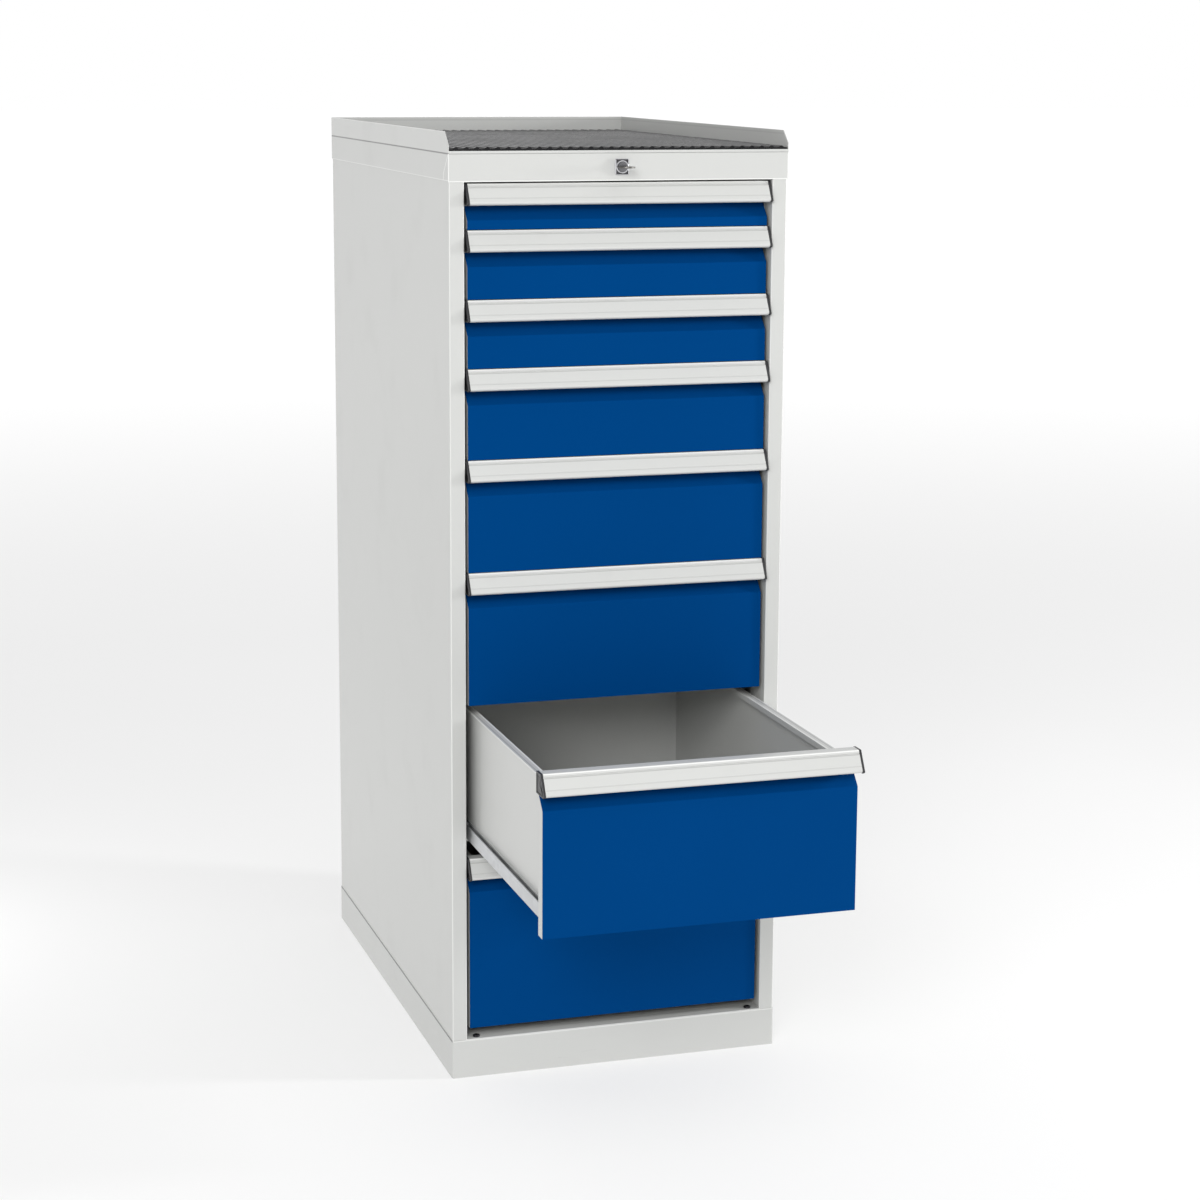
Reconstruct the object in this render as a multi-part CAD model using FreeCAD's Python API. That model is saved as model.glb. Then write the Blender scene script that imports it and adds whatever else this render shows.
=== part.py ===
import FreeCAD, Part
import math
import os

from FreeCAD import Vector

# Drawer cabinet of folded sheet steel, in millimetres.
# The origin is the middle of the plinth's footprint on the floor. +Z is up, the drawers open towards -Y,
# and +X is to the right of someone who stands in front. Drawer 1 is at the top and drawer 8 at the bottom.

# Body
body_width = 500.0
body_depth = 780.0
body_sheet = 1.0
bend_radius = 1.0
post_width = 22.0
post_return = 60.0
post_lip = 12.0
rear_flange = 18.0
back_panel_side_gap = 1.5
cap_head_gap = 1.0

# Plinth
plinth_height = 57.0
plinth_sheet = 1.5
plinth_overhang = 1.0
plinth_corner = 3.0
plinth_top_flange = 30.0
plinth_foot_flange = 15.0

# Plinth screws
screw_inset_side = 38.0
screw_inset_front = 9.5
screw_inset_rear = 15.0
screw_shank = 6.0
screw_hole_play = 0.3
screw_head = 10.5
screw_head_height = 3.0
screw_length = 14.0
screw_socket = 4.0
screw_socket_depth = 2.0

# Cap with its fascia and skirts
fascia_gap = 2.3
fascia_height = 39.0
skirt_height = 37.5
fascia_flange = 15.0
fascia_flange_gap = 0.5

# Tray on the cap and its rubber mat
tray_sheet = 1.0
tray_floor_lift = 2.6
rim_height = 30.0
rim_slant_length = 20.0
rim_slant_drop = 18.0
mat_play = 0.5
mat_base = 2.6
rib_height = 2.6
rib_pitch = 15.0
rib_foot = 8.0

# Drawer stack: each front is a whole number of grid steps high
drawer_steps = (2, 3, 3, 4, 5, 6, 7, 8)
grid_height = 32.4
floor_gap = 14.5
front_gap = 1.0
open_drawer = 7
open_distance = 380.0
drawer_travel = 540.0

# Drawer front
front_recess = 6.0
front_sheet = 1.2
pan_depth = 19.0
fold_drop = 51.0
slope_top_drop = 32.0
slope_end_gap = 1.1
web_gap = 0.3

# Grip strip along the top of each front
grip_sheet = 2.0
grip_drop = 30.0
grip_face_drop = 27.5
grip_top_depth = 20.0
grip_reach = 17.0
grip_lip = 7.0
grip_front_wall_drop = 3.0
groove_drop = 4.5
groove_width = 1.6
groove_depth = 0.8

# End pieces of the grip strip
end_cap_thickness = 3.5
end_cap_gap = 0.1
end_cap_side_gap = 2.2

# Drawer box
box_sheet = 1.0
box_length = 710.0
box_lift = 23.0
wall_drop = 14.0
rim_width = 12.0
rim_proud = 1.0
rim_outer_lip = 3.5
rim_inner_lip = 8.0

# Drawer slides
slide_thickness = 12.7
slide_play = 0.3
slide_sheet = 1.5
rail_width = 8.0
rail_height = 22.0
rail_headroom = 0.8
rail_rear_room = 7.0
rail_stop_gap = 1.5
channel_stop_length = 6.0
channel_front_gap = 4.0
channel_lip_depth = 8.0
channel_flange_length = 11.0
glide_thickness = 2.0
glide_length = 32.0
glide_width = 8.5
upright_depth = 40.0
upright_rear_gap = 48.0
upright_top_gap = 40.0
upright_sheet = 1.5

# Lock
lock_plate_width = 20.0
lock_plate_height = 23.0
lock_plate_thickness = 4.0
lock_plate_corner = 2.0
lock_plate_bevel = 1.0
lock_barrel = 18.0
lock_barrel_length = 26.0
lock_hole_play = 0.1
lock_nut_width = 24.0
lock_nut_height = 5.0
plug_diameter = 14.0
plug_play = 0.05
plug_stick_out = 3.0
plug_tail = 4.0
keyway_width = 9.0
keyway_height = 2.4
keyway_depth = 26.0
key_play = 0.2
key_blade_length = 22.0
key_neck = 4.0
key_bow_width = 24.0
key_bow_length = 26.0
key_bow_hole = 6.0

# Locking mechanism at the rear
rod_diameter = 8.0
rod_play = 0.05
crank_rise = 5.0
crank_disc = 22.0
crank_thickness = 3.0
crank_pin = 4.0
crank_pin_length = 6.0
crank_slot_play = 0.5
bar_thickness = 3.0
bar_width = 14.0
bar_offset = 47.0
bar_rear_gap = 24.0
yoke_height = 18.0
yoke_gap = 1.0
yoke_reach = 5.0
lug_width = 20.0
lug_depth = 6.0
lug_height = 6.0
catch_width = 18.0
catch_sheet = 2.0
catch_drop = 8.0
catch_tooth = 10.0
catch_play = 4.0
catch_side_gap = 2.0
lug_under_tooth = 2.0
guide_drawers = (2, 5, 8)
guide_rise = 30.0
guide_height = 12.0
guide_wall = 6.0
guide_front_wall = 2.7
guide_play = 0.3
bracket_width = 40.0
bracket_foot = 20.0
bracket_sheet = 3.0
bracket_drop = 12.0
bracket_setback = 26.0

# Derived places
half_width = body_width / 2
half_depth = body_depth / 2
front_y = -half_depth
floor_top = plinth_height + body_sheet
stack_bottom = floor_top + floor_gap
body_top = stack_bottom + grid_height * sum(drawer_steps) - front_gap + fascia_gap + fascia_height
cap_under = body_top - body_sheet
wall_top = cap_under - cap_head_gap
opening_half = half_width - post_width
front_half = opening_half - end_cap_side_gap - end_cap_thickness - end_cap_gap
cap_half_width = half_width + body_sheet
cap_half_depth = half_depth + body_sheet
wall_inner_y = half_depth - 2 * body_sheet
pan_back_y = front_y + front_recess + pan_depth
box_rear_y = pan_back_y + box_length
box_half = opening_half - slide_thickness - slide_play
wall_half = box_half - rim_proud
lock_z = body_top - fascia_height / 2
drawer_numbers = range(1, len(drawer_steps) + 1)


def box(x0, x1, y0, y1, z0, z1):
    """Block between two corners."""
    low = Vector(min(x0, x1), min(y0, y1), min(z0, z1))
    return Part.makeBox(abs(x1 - x0), abs(y1 - y0), abs(z1 - z0), low)


def rod_along_y(x, z, y0, y1, diameter):
    """Round bar from y0 to y1."""
    return Part.makeCylinder(diameter / 2, y1 - y0, Vector(x, y0, z), Vector(0, 1, 0))


def rod_along_z(x, y, z0, z1, diameter):
    """Round bar from z0 to z1."""
    return Part.makeCylinder(diameter / 2, z1 - z0, Vector(x, y, z0), Vector(0, 0, 1))


def fuse(shapes):
    """One solid from several that touch or overlap."""
    return shapes[0].multiFuse(shapes[1:]).removeSplitter()


def mirrored(shape):
    """The same shape on the other side of the cabinet."""
    return shape.mirror(Vector(0, 0, 0), Vector(1, 0, 0))


def unit(start, end):
    """Direction from start to end in the profile's plane."""
    length = math.hypot(end[0] - start[0], end[1] - start[1])
    return ((end[0] - start[0]) / length, (end[1] - start[1]) / length)


def offset_path(points, distance):
    """Path at a distance to the left of an open path, with mitred corners."""
    moved = []
    for index, point in enumerate(points):
        before = unit(points[max(index - 1, 0)], points[max(index, 1)])
        after = unit(points[min(index, len(points) - 2)], points[min(index + 1, len(points) - 1)])
        left = (-(before[1] + after[1]), before[0] + after[0])
        scale = 2 * distance / (left[0] ** 2 + left[1] ** 2)
        moved.append((point[0] + left[0] * scale, point[1] + left[1] * scale))
    return moved


def turn_angle(before, corner, after):
    """Signed turn at a corner, positive to the left."""
    first = unit(before, corner)
    second = unit(corner, after)
    cross = first[0] * second[1] - first[1] * second[0]
    dot = first[0] * second[0] + first[1] * second[1]
    return math.atan2(cross, dot)


def rounded_path(points, radii, place):
    """Edges along an open path whose corners are arcs of the given radii."""
    edges = []
    start = points[0]
    for index in range(1, len(points) - 1):
        corner = points[index]
        first = unit(points[index - 1], corner)
        second = unit(corner, points[index + 1])
        turn = turn_angle(points[index - 1], corner, points[index + 1])
        radius = radii[index - 1]
        reach = radius * math.tan(abs(turn) / 2)
        enter = (corner[0] - first[0] * reach, corner[1] - first[1] * reach)
        leave = (corner[0] + second[0] * reach, corner[1] + second[1] * reach)
        side = math.copysign(1.0, turn)
        centre = (enter[0] - side * first[1] * radius, enter[1] + side * first[0] * radius)
        towards = unit(centre, corner)
        middle = (centre[0] + towards[0] * radius, centre[1] + towards[1] * radius)
        edges.append(Part.LineSegment(place(*start), place(*enter)).toShape())
        edges.append(Part.Arc(place(*enter), place(*middle), place(*leave)).toShape())
        start = leave
    edges.append(Part.LineSegment(place(*start), place(*points[-1])).toShape())
    return edges


def folded_sheet(points, thickness, place, sweep):
    """Bent strip: its outer face runs along the points, its steel lies to their left."""
    turns = [turn_angle(*points[index - 1:index + 2]) for index in range(1, len(points) - 1)]
    near = [bend_radius + (thickness if turn > 0 else 0) for turn in turns]
    far = [bend_radius + (0 if turn > 0 else thickness) for turn in turns]
    other = offset_path(points, thickness)
    edges = rounded_path(points, near, place)
    edges.append(Part.LineSegment(place(*points[-1]), place(*other[-1])).toShape())
    edges += rounded_path(other[::-1], far[::-1], place)
    edges.append(Part.LineSegment(place(*other[0]), place(*points[0])).toShape())
    return Part.Face(Part.Wire(edges)).extrude(sweep)


def flat_prism(points, place, sweep):
    """Solid with straight sides over a closed outline."""
    corners = [place(*point) for point in points]
    return Part.Face(Part.makePolygon(corners + corners[:1])).extrude(sweep)


def rounded_block(half_x, half_y, z0, z1, radius):
    """Block about the middle with rounded upright edges."""
    block = box(-half_x, half_x, -half_y, half_y, z0, z1)
    upright = [edge for edge in block.Edges if abs(edge.tangentAt(0).z) > 0.5]
    return block.makeFillet(radius, upright)


def in_plan(height):
    """Places profile points in the floor plan at a height."""
    return lambda x, y: Vector(x, y, height)


def in_side_view(x):
    """Places profile points (y, z) in a plane across the cabinet's width."""
    return lambda y, z: Vector(x, y, z)


def in_front_view(y):
    """Places profile points (x, z) in a plane parallel to the front."""
    return lambda x, z: Vector(x, y, z)


# Drawer places
def front_bottom(number):
    """Lower edge of a drawer's front."""
    steps_below = sum(drawer_steps[number:])
    return stack_bottom + grid_height * steps_below


def front_top(number):
    """Upper edge of a drawer's grip strip."""
    return front_bottom(number) + grid_height * drawer_steps[number - 1] - front_gap


def box_bottom(number):
    """Underside of a drawer's box and rails."""
    return front_bottom(number) + box_lift


def box_top(number):
    """Upper face of a drawer's rim."""
    return front_top(number) - wall_drop


def shown_shift(number):
    """How far a drawer stands open towards -Y."""
    return Vector(0, -open_distance if number == open_drawer else 0.0, 0)


# Fixed body
def make_left_side():
    """Side wall with front post, post return and rear flange, folded from one sheet."""
    outline = [
        (-half_width + rear_flange, half_depth),
        (-half_width, half_depth),
        (-half_width, front_y),
        (-opening_half, front_y),
        (-opening_half, front_y + post_return),
        (-opening_half - post_lip, front_y + post_return),
    ]
    return folded_sheet(outline, body_sheet, in_plan(floor_top), Vector(0, 0, wall_top - floor_top))


def make_back_panel():
    """Rear wall, held between the side walls against their rear flanges."""
    inner_half = half_width - body_sheet - back_panel_side_gap
    return box(-inner_half, inner_half, wall_inner_y, wall_inner_y + body_sheet, floor_top, wall_top)


def screw_places():
    """Screw axes near the four corners of the floor."""
    x = half_width - screw_inset_side
    return [
        (side * x, y)
        for side in (-1, 1)
        for y in (front_y + screw_inset_front, half_depth - screw_inset_rear)
    ]


def drill_floor(shape, z0, z1):
    """Cuts the holes of the plinth screws."""
    hole = screw_shank + 2 * screw_hole_play
    for x, y in screw_places():
        shape = shape.cut(rod_along_z(x, y, z0, z1, hole))
    return shape


def make_floor_panel():
    """Cabinet floor on which the side walls stand."""
    plate = box(-half_width, half_width, -half_depth, half_depth, plinth_height, floor_top)
    return drill_floor(plate, plinth_height, floor_top)


def make_plinth():
    """Frame with a flange under the floor panel and a narrow flange on the ground."""
    outer_x = half_width + plinth_overhang
    outer_y = half_depth + plinth_overhang
    inner_x = outer_x - plinth_sheet
    inner_y = outer_y - plinth_sheet
    shell = rounded_block(outer_x, outer_y, 0, plinth_height, plinth_corner)
    under_flange = plinth_height - plinth_sheet
    inner_corner = plinth_corner - plinth_sheet
    shell = shell.cut(rounded_block(inner_x, inner_y, plinth_sheet, under_flange, inner_corner))
    top_x = outer_x - plinth_top_flange
    top_y = outer_y - plinth_top_flange
    shell = shell.cut(box(-top_x, top_x, -top_y, top_y, under_flange, plinth_height))
    foot_x = outer_x - plinth_foot_flange
    foot_y = outer_y - plinth_foot_flange
    shell = shell.cut(box(-foot_x, foot_x, -foot_y, foot_y, 0, plinth_sheet))
    return drill_floor(shell, under_flange, plinth_height)


def make_plinth_screws():
    """Four button-head screws from the floor panel into the plinth."""
    screws = []
    for x, y in screw_places():
        head_top = floor_top + screw_head_height
        head = rod_along_z(x, y, floor_top, head_top, screw_head)
        shank = rod_along_z(x, y, floor_top - screw_length, floor_top, screw_shank)
        socket = rod_along_z(x, y, head_top - screw_socket_depth, head_top, screw_socket)
        screws.append(head.fuse(shank).cut(socket))
    return Part.makeCompound(screws)


def make_top_cap():
    """Lid whose rear skirt, top and fascia are one bend line, with side skirts and a fascia flange."""
    skirt_z = body_top - skirt_height
    fascia_z = body_top - fascia_height
    outline = [
        (cap_half_depth, skirt_z),
        (cap_half_depth, body_top),
        (-cap_half_depth, body_top),
        (-cap_half_depth, fascia_z),
    ]
    lid = folded_sheet(outline, body_sheet, in_side_view(-cap_half_width), Vector(2 * cap_half_width, 0, 0))
    skirt = box(-cap_half_width, -half_width, -half_depth, half_depth, skirt_z, body_top - body_sheet / 2)
    flange_half = opening_half - fascia_flange_gap
    flange_back = -cap_half_depth + fascia_flange
    flange_front = front_y - body_sheet / 2
    flange = box(-flange_half, flange_half, flange_front, flange_back, fascia_z, fascia_z + body_sheet)
    cap = fuse([lid, skirt, mirrored(skirt), flange])
    return cap.cut(rod_along_y(0, lock_z, -cap_half_depth, front_y, lock_barrel + 2 * lock_hole_play))


def make_top_tray():
    """Tray with a rim on three sides; its floor stands off the cap by the height of the front lip."""
    rim_top = body_top + rim_height
    floor_z = body_top + tray_floor_lift
    inner_x = cap_half_width - tray_sheet
    inner_y = cap_half_depth - tray_sheet
    front = -cap_half_depth
    side_outline = [
        (front, body_top),
        (cap_half_depth, body_top),
        (cap_half_depth, rim_top),
        (front + rim_slant_length, rim_top),
        (front, rim_top - rim_slant_drop),
    ]
    side = flat_prism(side_outline, in_side_view(-cap_half_width), Vector(tray_sheet, 0, 0))
    back = box(-cap_half_width, cap_half_width, inner_y, cap_half_depth, body_top, rim_top)
    floor = box(-inner_x, inner_x, front, inner_y, floor_z, floor_z + tray_sheet)
    lip = box(-inner_x, inner_x, front, front + tray_sheet, body_top, floor_z + tray_sheet)
    return fuse([side, mirrored(side), back, floor, lip])


def make_mat():
    """Rubber mat whose ribs run from front to back."""
    base_z = body_top + tray_floor_lift + tray_sheet
    face_z = base_z + mat_base
    half = cap_half_width - tray_sheet - mat_play
    rear_y = cap_half_depth - tray_sheet - mat_play
    rib_count = int((2 * half - rib_foot) / rib_pitch) + 1
    front = -cap_half_depth
    sweep = Vector(0, rear_y - front, 0)
    mat = box(-half, half, front, rear_y, base_z, face_z)
    first = -rib_pitch * (rib_count - 1) / 2
    place = in_front_view(front)
    ribs = []
    for index in range(rib_count):
        middle = first + index * rib_pitch
        start = place(middle - rib_foot / 2, face_z)
        crest = place(middle, face_z + rib_height)
        end = place(middle + rib_foot / 2, face_z)
        arc = Part.Arc(start, crest, end).toShape()
        chord = Part.LineSegment(end, start).toShape()
        ribs.append(Part.Face(Part.Wire([arc, chord])).extrude(sweep))
    return fuse([mat] + ribs)


def make_rear_uprights():
    """Two open channels between the side walls and the rear ends of the slides."""
    rear = wall_inner_y - upright_rear_gap
    front = rear - upright_depth
    wall = half_width - body_sheet
    outline = [
        (-wall, front),
        (-opening_half, front),
        (-opening_half, rear),
        (-wall, rear),
    ]
    height = wall_top - upright_top_gap - floor_top
    upright = folded_sheet(outline, upright_sheet, in_plan(floor_top), Vector(0, 0, height))
    return Part.makeCompound([upright, mirrored(upright)])


def make_left_channel(number):
    """Fixed slide channel: a foot under the rail, a lip down into its trough and a stop on the lip."""
    base = box_bottom(number) - slide_play - glide_thickness - slide_sheet
    roof = box_bottom(number) + rail_height + rail_headroom + slide_sheet
    lip_end = box_bottom(number) + rail_height - channel_lip_depth
    inner = -opening_half + channel_flange_length
    outline = [
        (inner, base),
        (-opening_half, base),
        (-opening_half, roof),
        (inner - slide_sheet / 2, roof),
        (inner - slide_sheet / 2, lip_end),
    ]
    front = pan_back_y + channel_front_gap
    rear = box_rear_y + rail_rear_room
    path = outline[::-1]
    channel = folded_sheet(path, slide_sheet, in_front_view(front), Vector(0, rear - front, 0))
    lip_x = inner - slide_sheet / 2
    stop_y = box_rear_y - slide_sheet - slide_play - drawer_travel
    stop_low = box_bottom(number) + slide_sheet + rail_stop_gap
    stop = box(lip_x - slide_sheet, lip_x, stop_y - channel_stop_length, stop_y, stop_low, lip_end)
    return fuse([channel, stop])


def make_slide_channels():
    """A pair of channels for each drawer."""
    left = [make_left_channel(number) for number in drawer_numbers]
    return Part.makeCompound(left + [mirrored(channel) for channel in left])


def make_slide_glides():
    """Nylon pads at the front of the channels: they carry the rails and stop the closed drawer."""
    pads = []
    for number in drawer_numbers:
        top = box_bottom(number) - slide_play
        outer = -opening_half + slide_sheet + bend_radius
        front = pan_back_y + box_sheet + slide_play
        rear = front + glide_length
        pads.append(box(outer, outer + glide_width, front, rear, top - glide_thickness, top))
    return Part.makeCompound(pads + [mirrored(pad) for pad in pads])


# Lock
def make_lock_housing():
    """Round lock body with a bevelled plate in front of the fascia."""
    face_y = -cap_half_depth - lock_plate_thickness
    half = lock_plate_width / 2
    high = lock_plate_height / 2
    plate = box(-half, half, face_y, -cap_half_depth, lock_z - high, lock_z + high)
    corners = [edge for edge in plate.Edges if abs(edge.tangentAt(0).y) > 0.5]
    plate = plate.makeFillet(lock_plate_corner, corners)
    rim = [edge for edge in plate.Edges if edge.BoundBox.YMax < face_y + lock_plate_thickness / 2]
    plate = plate.makeChamfer(lock_plate_bevel, rim)
    barrel_end = -cap_half_depth + lock_barrel_length
    barrel = rod_along_y(0, lock_z, -cap_half_depth, barrel_end, lock_barrel)
    bore = rod_along_y(0, lock_z, face_y, barrel_end, plug_diameter + 2 * plug_play)
    return plate.fuse(barrel).removeSplitter().cut(bore)


def make_lock_nut():
    """Hexagon nut that clamps the lock body from behind the fascia."""
    corner = lock_nut_width / math.sqrt(3)
    outline = []
    for index in range(6):
        angle = math.radians(60 * index)
        outline.append((corner * math.cos(angle), lock_z + corner * math.sin(angle)))
    nut = flat_prism(outline, in_front_view(front_y), Vector(0, lock_nut_height, 0))
    hole = lock_barrel + 2 * lock_hole_play
    return nut.cut(rod_along_y(0, lock_z, front_y, front_y + lock_nut_height, hole))


def plug_front():
    """Front face of the lock's turning plug."""
    return -cap_half_depth - lock_plate_thickness - plug_stick_out


def plug_rear():
    """Rear face of the plug, where the lock rod begins."""
    return -cap_half_depth + lock_barrel_length + plug_tail


def make_lock_cylinder():
    """Turning plug with a keyway that lies flat when the drawers are free."""
    plug = rod_along_y(0, lock_z, plug_front(), plug_rear(), plug_diameter)
    half = keyway_width / 2
    high = keyway_height / 2
    keyway_end = plug_front() + keyway_depth
    return plug.cut(box(-half, half, plug_front(), keyway_end, lock_z - high, lock_z + high))


def make_key():
    """Flat key with an oval bow."""
    half = keyway_width / 2 - key_play
    high = keyway_height / 2 - key_play
    bow_y = plug_front() - key_neck - key_bow_length / 2
    blade = box(-half, half, bow_y, plug_front() + key_blade_length, lock_z - high, lock_z + high)
    middle = Vector(0, bow_y, lock_z - high)
    long_end = middle + Vector(0, key_bow_length / 2, 0)
    wide_end = middle + Vector(key_bow_width / 2, 0, 0)
    oval = Part.Ellipse(long_end, wide_end, middle).toShape()
    bow = Part.Face(Part.Wire(oval)).extrude(Vector(0, 0, 2 * high))
    ring_y = bow_y - key_bow_length / 2 + key_bow_hole
    ring = rod_along_z(0, ring_y, lock_z - high, lock_z + high, key_bow_hole)
    return blade.fuse(bow).removeSplitter().cut(ring)


def bar_front():
    """Front face of the locking bar."""
    return wall_inner_y - bar_rear_gap - bar_width


def yoke_front():
    """Front face of the yoke at the head of the bar."""
    return bar_front() + bar_width - slide_sheet


def crank_rear():
    """Rear face of the crank disc."""
    return yoke_front() - yoke_gap


def make_lock_rod():
    """Long rod from the plug to the rear, with a crank disc and pin."""
    disc_front = crank_rear() - crank_thickness
    rod = rod_along_y(0, lock_z, plug_rear(), disc_front, rod_diameter)
    disc = rod_along_y(0, lock_z, disc_front, crank_rear(), crank_disc)
    pin_end = crank_rear() + crank_pin_length
    pin = rod_along_y(-crank_rise, lock_z - crank_rise, crank_rear(), pin_end, crank_pin)
    return rod.fuse([disc, pin]).removeSplitter()


def make_rod_bracket():
    """Hanger under the cap in which the rod turns."""
    rear = bar_front() - bracket_setback
    half = bracket_width / 2
    outline = [
        (rear + bracket_foot, cap_under),
        (rear, cap_under),
        (rear, lock_z - bracket_drop),
    ]
    hanger = folded_sheet(outline, bracket_sheet, in_side_view(-half), Vector(bracket_width, 0, 0))
    return hanger.cut(rod_along_y(0, lock_z, rear, rear + bracket_sheet, rod_diameter + 2 * rod_play))


def catch_bottom(number):
    """Underside of the plate of a drawer's rear catch."""
    return box_top(number) - catch_drop


def lug_top(number):
    """Upper face of the bar's lug when the drawers are free."""
    return catch_bottom(number) - catch_tooth - lug_under_tooth


def make_locking_bar():
    """Upright bar with a lug for each drawer and a slotted yoke for the crank pin."""
    x0 = -bar_offset - bar_thickness
    x1 = -bar_offset
    front = bar_front()
    yoke_z = lock_z - crank_rise
    yoke_top = yoke_z + yoke_height / 2
    foot = front_bottom(guide_drawers[-1]) + guide_rise - guide_height
    pieces = [box(x0, x1, front, front + bar_width, foot, yoke_top)]
    back = yoke_front() + bar_thickness
    pieces.append(box(x0, yoke_reach, yoke_front(), back, yoke_z - yoke_height / 2, yoke_top))
    for number in drawer_numbers:
        lug_y = box_rear_y + catch_reach() - catch_play - lug_depth
        top = lug_top(number)
        pieces.append(box(x1, x1 + lug_width, lug_y, lug_y + lug_depth, top - lug_height, top))
    bar = fuse(pieces)
    play = crank_pin / 2 + crank_slot_play
    swing = crank_rise * math.sqrt(2)
    slot = box(-swing - play, -crank_rise + play, yoke_front(), back, yoke_z - play, yoke_z + play)
    return bar.cut(slot)


def catch_reach():
    """Distance from a drawer's rear wall to the front of its catch tooth."""
    return bar_front() + bar_width - box_rear_y


def make_bar_guides():
    """Blocks on the back panel that the locking bar slides in."""
    guides = []
    for number in guide_drawers:
        z0 = front_bottom(number) + guide_rise
        x0 = -bar_offset - bar_thickness - guide_wall
        x1 = -bar_offset + guide_wall
        front = bar_front()
        block = box(x0, x1, front - guide_front_wall, wall_inner_y, z0, z0 + guide_height)
        slot = box(
            -bar_offset - bar_thickness - guide_play,
            -bar_offset + guide_play,
            front - guide_play,
            front + bar_width + guide_play,
            z0,
            z0 + guide_height,
        )
        guides.append(block.cut(slot))
    return Part.makeCompound(guides)


# Drawers, modelled closed
def front_face_path(number):
    """Outer line of the blue sheet in side view, from its lower edge to the head of the recess."""
    face_y = front_y + front_recess
    top = front_top(number)
    slope_depth = pan_depth - slope_end_gap
    return [
        (face_y, front_bottom(number)),
        (face_y, top - fold_drop),
        (face_y + slope_depth, top - slope_top_drop),
    ]


def make_front(number):
    """Blue sheet: upright below, slanted back above as a recess for the fingers."""
    path = front_face_path(number)[::-1]
    return folded_sheet(path, front_sheet, in_side_view(-front_half), Vector(2 * front_half, 0, 0))


def grip_path(number):
    """Outer line of the grip strip in side view, from the foot of its rear leg to the tip of its lip."""
    top = front_top(number)
    face_y = front_y + front_recess
    crest_y = pan_back_y - grip_top_depth
    edge_y = face_y - grip_reach
    return [
        (pan_back_y, top - grip_drop),
        (pan_back_y, top),
        (crest_y, top),
        (edge_y, top - grip_face_drop),
        (edge_y + grip_lip, top - grip_drop),
    ]


def make_grip(number):
    """Grip strip with a slanted face, an inner lip and a fine groove under its crest."""
    path = grip_path(number)
    strip = folded_sheet(path, grip_sheet, in_side_view(-front_half), Vector(2 * front_half, 0, 0))
    crest, edge = path[2], path[3]
    along = unit(crest, edge)
    inward = (-along[1], along[0])
    start = (crest[0] + along[0] * groove_drop, crest[1] + along[1] * groove_drop)
    groove = [
        (start[0] - inward[0] * groove_depth, start[1] - inward[1] * groove_depth),
        (start[0] + inward[0] * groove_depth, start[1] + inward[1] * groove_depth),
        (start[0] + along[0] * groove_width + inward[0] * groove_depth,
         start[1] + along[1] * groove_width + inward[1] * groove_depth),
        (start[0] + along[0] * groove_width - inward[0] * groove_depth,
         start[1] + along[1] * groove_width - inward[1] * groove_depth),
    ]
    cutter = flat_prism(groove, in_side_view(-front_half), Vector(2 * front_half, 0, 0))
    return strip.cut(cutter)


def make_end_caps(number):
    """Plastic plates that close the two ends of the grip strip."""
    outline = grip_path(number)
    outline[-1] = (outline[-2][0] + end_cap_thickness, front_top(number) - grip_drop)
    x = -front_half - end_cap_gap - end_cap_thickness
    cap = flat_prism(outline, in_side_view(x), Vector(end_cap_thickness, 0, 0))
    return Part.makeCompound([cap, mirrored(cap)])


def make_box_wall(number):
    """Left wall of a drawer with its hollow rim."""
    low = box_bottom(number)
    top = box_top(number)
    rear = box_rear_y
    inner = -box_half + rim_width
    wall = box(-wall_half, -wall_half + box_sheet, pan_back_y, rear, low, top)
    crest = box(-box_half, inner, pan_back_y, rear, top - box_sheet, top)
    outer_lip = box(-box_half, -wall_half, pan_back_y + box_sheet, rear, top - rim_outer_lip, top)
    inner_lip = box(inner - box_sheet, inner, pan_back_y, rear, top - rim_inner_lip, top)
    return [wall, crest, outer_lip, inner_lip]


def make_box_rear(number):
    """Rear wall of a drawer with its rim and the catch for the locking bar."""
    low = box_bottom(number)
    top = box_top(number)
    rear = box_rear_y
    inner = rear - rim_width
    wall = box(-wall_half, wall_half, rear - box_sheet, rear, low, top)
    crest = box(-wall_half, wall_half, inner, rear, top - box_sheet, top)
    lip = box(-wall_half, wall_half, inner, inner + box_sheet, top - rim_inner_lip, top)
    x1 = -bar_offset + catch_side_gap
    tooth = rear + catch_reach()
    under = catch_bottom(number)
    plate = box(x1, x1 + catch_width, rear - box_sheet, tooth + bar_thickness, under, under + catch_sheet)
    hook = box(x1, x1 + catch_width, tooth, tooth + bar_thickness, under - catch_tooth, under + catch_sheet)
    return [wall, crest, lip, plate, hook]


def make_pan(number):
    """Shallow folded pan in front of the drawer's front wall, which carries the blue sheet."""
    low = front_bottom(number)
    face_y = front_y + front_recess + front_sheet
    base = box(-front_half, front_half, face_y, pan_back_y, low, low + box_sheet)
    backed = offset_path(front_face_path(number)[::-1], front_sheet + web_gap)[::-1]
    outline = [(pan_back_y, low), (backed[0][0], low), backed[1], backed[2], (pan_back_y, backed[2][1])]
    web = flat_prism(outline, in_side_view(-front_half), Vector(box_sheet, 0, 0))
    return fuse([base, web, mirrored(web)])


def make_drawer_box(number):
    """Welded drawer tray, with the pan welded on in front as a piece of its own."""
    left = make_box_wall(number)
    right = [mirrored(piece) for piece in left]
    low = box_bottom(number)
    floor = box(-wall_half, wall_half, pan_back_y, box_rear_y, low, low + box_sheet)
    wall_low = front_bottom(number)
    wall_high = front_top(number) - grip_front_wall_drop
    wall = box(-front_half, front_half, pan_back_y, pan_back_y + box_sheet, wall_low, wall_high)
    tray = fuse([floor, wall] + left + right + make_box_rear(number))
    return Part.makeCompound([tray, make_pan(number)])


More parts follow.
